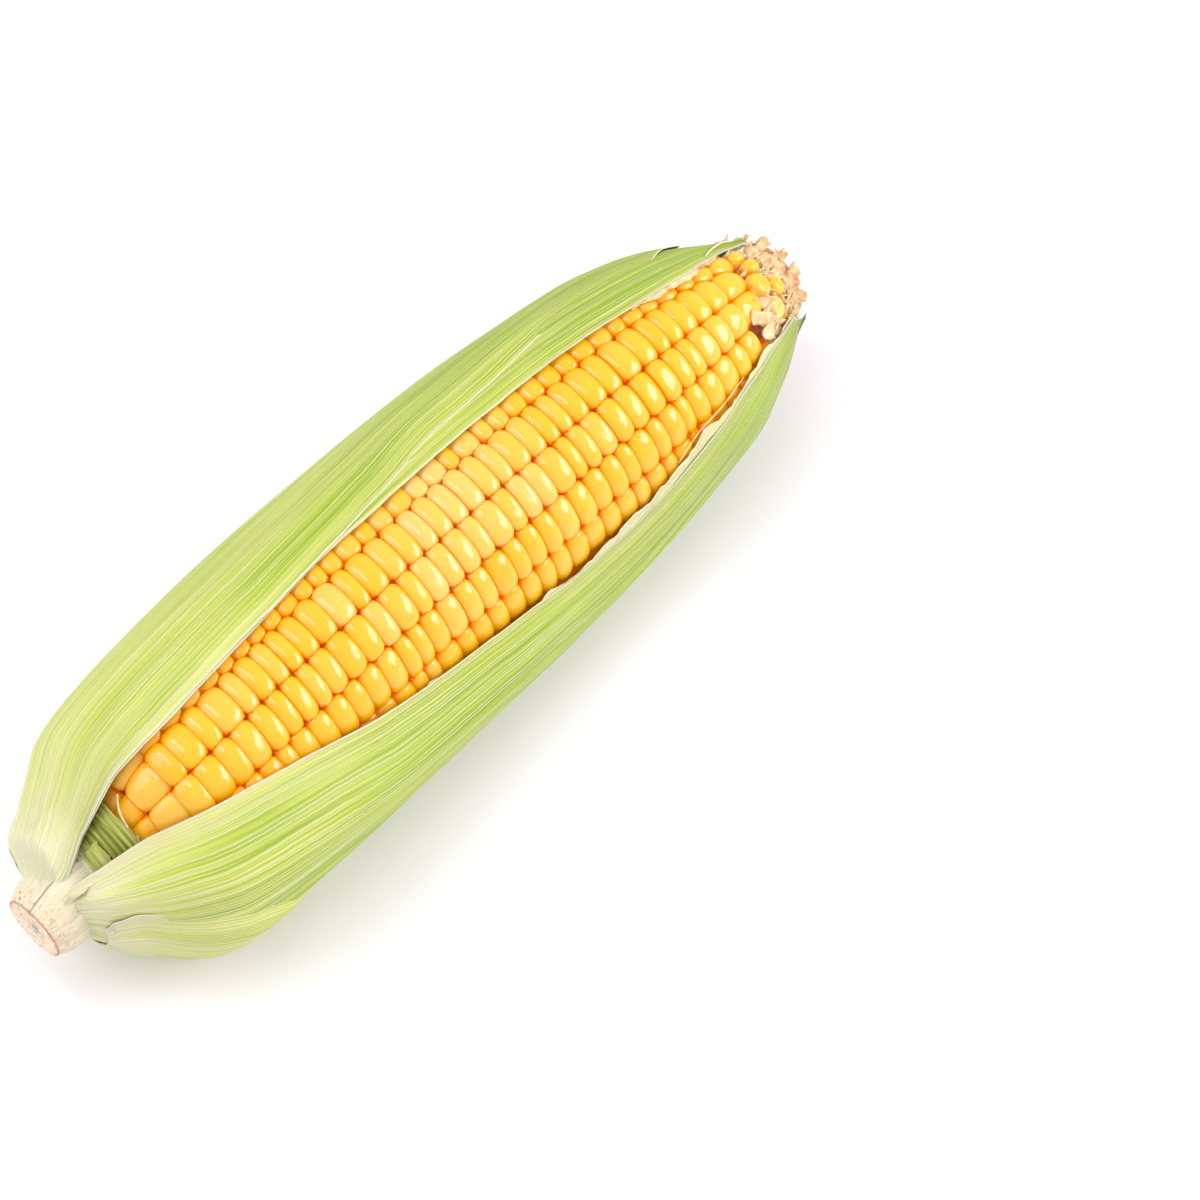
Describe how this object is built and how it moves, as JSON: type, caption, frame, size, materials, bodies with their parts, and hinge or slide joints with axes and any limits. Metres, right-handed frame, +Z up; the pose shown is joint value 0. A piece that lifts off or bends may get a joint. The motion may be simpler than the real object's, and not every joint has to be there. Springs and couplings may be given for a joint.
{
  "type": "ear of sweet corn in its husk",
  "caption": "Fresh ear of sweet corn lying in its green husk, opened along one side to show the yellow kernels, with its cut stem.",
  "frame": {"origin": "centre of the footprint of the whole ear, on the surface it lies on", "axes": "+X along the ear from the cut stem towards the tip, +Z up, the opening in the husk faces up and towards -Y"},
  "size_m": [0.222, 0.066, 0.0565],
  "materials": {
    "kernel": "plump glossy yellow kernel skin, deeper orange in the crevices",
    "cob": "dry papery chaff over pale cob, browned at the tip",
    "stem": "pale cream fibrous stem, freshly cut, slightly browned at the cut",
    "husk_green": "satin green leaf with fine parallel veins",
    "husk_pale": "pale yellow-green inner leaf with fine parallel veins",
    "silk": "fine translucent pale silk"
  },
  "bodies": {
    "root": {"shank": "stem", "cob": "cob", "kernel_row_01": "kernel", "kernel_row_02": "kernel", "kernel_row_03": "kernel", "kernel_row_04": "kernel", "kernel_row_05": "kernel", "kernel_row_06": "kernel", "kernel_row_07": "kernel", "kernel_row_08": "kernel", "kernel_row_09": "kernel", "kernel_row_10": "kernel", "kernel_row_11": "kernel", "kernel_row_12": "kernel", "kernel_row_13": "kernel", "kernel_row_14": "kernel", "kernel_row_15": "kernel", "kernel_row_16": "kernel", "husk_upper_inner": "husk_pale", "husk_upper_outer": "husk_green", "husk_lower_inner": "husk_pale", "husk_lower_outer": "husk_green", "husk_back": "husk_green", "husk_stub": "husk_pale", "silk_strand_butt": "silk", "silk_strand_tip": "silk", "silk_strand_side": "silk"}
  },
  "joints": []
}
